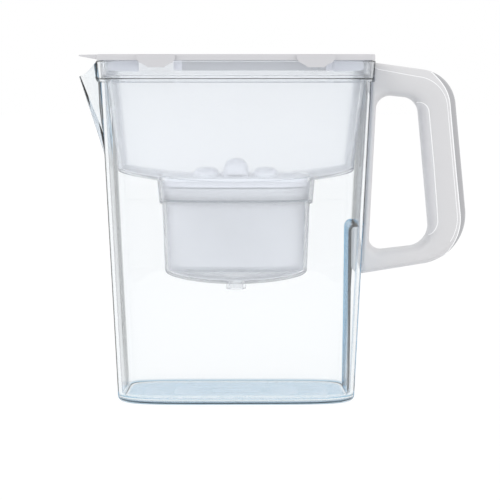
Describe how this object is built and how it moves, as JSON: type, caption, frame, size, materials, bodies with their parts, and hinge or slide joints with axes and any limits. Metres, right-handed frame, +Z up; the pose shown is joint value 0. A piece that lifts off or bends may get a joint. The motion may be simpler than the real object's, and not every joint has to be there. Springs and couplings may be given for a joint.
{
  "type": "water filter pitcher",
  "caption": "Slim clear water jug with a moulded spout and side handle, a drop-in milky hopper holding a filter cartridge, and a lid with a flip-up fill flap.",
  "frame": {"origin": "centre of the jug's underside, on the surface it stands on", "axes": "+X towards the handle, -X towards the spout, +Y across the jug, +Z up"},
  "size_m": [0.2738, 0.1146, 0.243],
  "materials": {
    "clear_jug": "clear, glossy, pale blue at the edges",
    "milky_hopper": "milky, half clear, glossy",
    "handle_white": "satin moulded plastic",
    "handle_shade": "satin moulded plastic",
    "handle_light": "satin moulded plastic",
    "lid_white": "satin moulded plastic",
    "cartridge_white": "matt moulded plastic",
    "seal_rubber": "soft, matt",
    "mesh_screen": "fine woven screen",
    "filter_bed": "packed granules"
  },
  "bodies": {
    "jug": {"jug_body": "clear_jug", "handle_frame": "handle_white", "handle_cover": "handle_shade", "grip_pad": "handle_light"},
    "hopper": {"hopper": "milky_hopper"},
    "cartridge": {"cartridge_cup": "cartridge_white", "cartridge_cap": "cartridge_white", "cartridge_seal": "seal_rubber", "top_mesh": "mesh_screen", "filter_media": "filter_bed", "bottom_mesh": "mesh_screen"},
    "lid": {"lid": "lid_white", "lid_tabs": "lid_white", "lid_skirts": "lid_white"},
    "flip_lid": {"flip_lid": "lid_white"}
  },
  "joints": [
    {"name": "hopper_lift", "type": "slide", "parent": "jug", "child": "hopper", "axis": [0, 0, 1], "range_m": [0, 0.17]},
    {"name": "cartridge_lift", "type": "slide", "parent": "hopper", "child": "cartridge", "axis": [0, 0, 1], "range_m": [0, 0.055]},
    {"name": "lid_lift", "type": "slide", "parent": "hopper", "child": "lid", "axis": [0, 0, 1], "range_m": [0, 0.1]},
    {"name": "flip_lid_hinge", "type": "hinge", "parent": "lid", "child": "flip_lid", "pos_m": [-0.038, 0, 0.2406], "axis": [0, -1, 0], "range_deg": [0, 95]}
  ]
}
